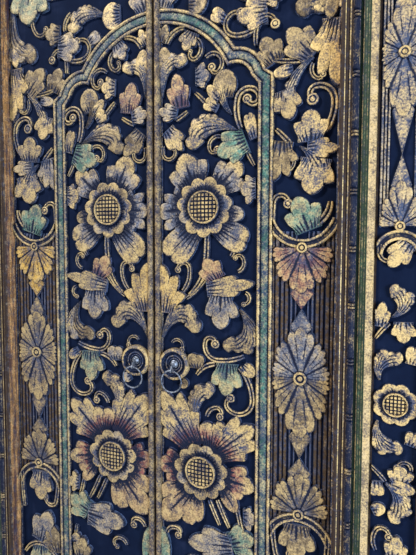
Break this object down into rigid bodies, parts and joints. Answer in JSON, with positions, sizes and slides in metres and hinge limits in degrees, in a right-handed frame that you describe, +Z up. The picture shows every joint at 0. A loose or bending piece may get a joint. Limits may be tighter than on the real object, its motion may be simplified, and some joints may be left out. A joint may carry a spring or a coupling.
{
  "type": "carved temple door",
  "caption": "Carved and painted double-leaf temple door in its moulded frame, with a ring pull on each leaf; the leaves turn inwards on pivots.",
  "frame": {"origin": "on the floor, under the middle of the door, in the plane of the carved relief", "axes": "+X to the right as seen from the carved side, +Y through the door away from the carved side, +Z up"},
  "size_m": [1.31, 0.088, 2.278],
  "materials": {
    "leaf_carving": "carved, painted and gilded, worn",
    "strip_carving": "carved, painted and gilded, worn",
    "frame_paint": "painted, with worn gilding",
    "gilded_moulding": "gilded, worn",
    "ring_plate": "turned, painted and gilded",
    "ring_iron": "bare steel, dull"
  },
  "bodies": {
    "frame": {"head": "frame_paint", "head_round_moulding": "gilded_moulding", "head_frieze": "frame_paint", "sill": "frame_paint", "jamb_left": "frame_paint", "jamb_bead_and_reel_left": "gilded_moulding", "jamb_carved_strip_left": "strip_carving", "jamb_right": "frame_paint", "jamb_bead_and_reel_right": "gilded_moulding", "jamb_carved_strip_right": "strip_carving"},
    "leaf_left": {"leaf_carved_left": "leaf_carving", "meeting_bead_left": "gilded_moulding", "ring_boss_left": "ring_plate", "ring_eye_left": "ring_iron"},
    "ring_left": {"pull_ring_left": "ring_iron"},
    "leaf_right": {"leaf_carved_right": "leaf_carving", "meeting_bead_right": "gilded_moulding", "ring_boss_right": "ring_plate", "ring_eye_right": "ring_iron"},
    "ring_right": {"pull_ring_right": "ring_iron"}
  },
  "joints": [
    {"name": "leaf_left_swing", "type": "hinge", "parent": "frame", "child": "leaf_left", "pos_m": [-0.437, 0.026, 1.0715], "axis": [0, 0, 1], "range_deg": [0, 95]},
    {"name": "pull_ring_left_swing", "type": "hinge", "parent": "leaf_left", "child": "ring_left", "pos_m": [-0.055, -0.02, 1.038], "axis": [-1, 0, 0], "range_deg": [-10, 170]},
    {"name": "leaf_right_swing", "type": "hinge", "parent": "frame", "child": "leaf_right", "pos_m": [0.437, 0.026, 1.0715], "axis": [0, 0, -1], "range_deg": [0, 95]},
    {"name": "pull_ring_right_swing", "type": "hinge", "parent": "leaf_right", "child": "ring_right", "pos_m": [0.055, -0.02, 1.038], "axis": [-1, 0, 0], "range_deg": [-10, 170]}
  ]
}
